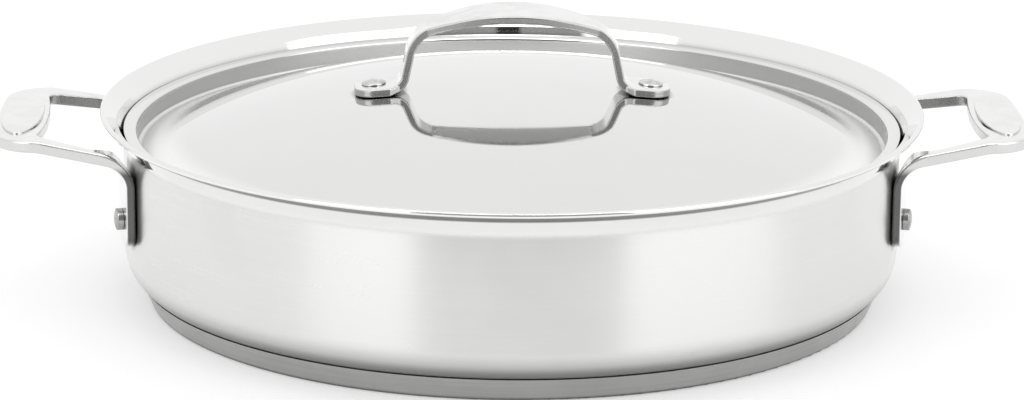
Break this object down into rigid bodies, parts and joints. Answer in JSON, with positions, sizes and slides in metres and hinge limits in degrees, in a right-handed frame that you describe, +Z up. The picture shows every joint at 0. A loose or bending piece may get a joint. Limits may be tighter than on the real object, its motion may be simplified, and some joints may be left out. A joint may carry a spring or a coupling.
{
  "type": "saute pan with lid",
  "caption": "Wide, low stainless steel saute pan with a flared rim, a riveted loop handle on each side, a capped disc base and a domed lid with a riveted strap handle.",
  "frame": {"origin": "centre of the underside of the base, on the surface that the pan rests on", "axes": "+Z up; the side handles point along +X and -X, and the lid's handle runs the same way; +Y to the back"},
  "size_m": [0.4114, 0.3292, 0.1165],
  "materials": {
    "pan_steel": "polished stainless steel",
    "lid_steel": "polished stainless steel",
    "handle_steel": "polished stainless steel",
    "rivet_steel": "satin stainless steel",
    "base_steel": "satin stainless steel",
    "core_aluminium": "as rolled"
  },
  "bodies": {
    "pan": {"pan_shell": "pan_steel", "base_core": "core_aluminium", "base_cap": "base_steel", "right_handle": "handle_steel", "left_handle": "handle_steel", "right_handle_rivet_front": "rivet_steel", "right_handle_rivet_rear": "rivet_steel", "left_handle_rivet_front": "rivet_steel", "left_handle_rivet_rear": "rivet_steel"},
    "lid": {"lid_panel": "lid_steel", "lid_handle": "handle_steel", "lid_rivet_right": "rivet_steel", "lid_rivet_left": "rivet_steel"}
  },
  "joints": [
    {"name": "lid_lift", "type": "slide", "parent": "pan", "child": "lid", "axis": [0, 0, 1], "range_m": [0, 0.15]}
  ]
}
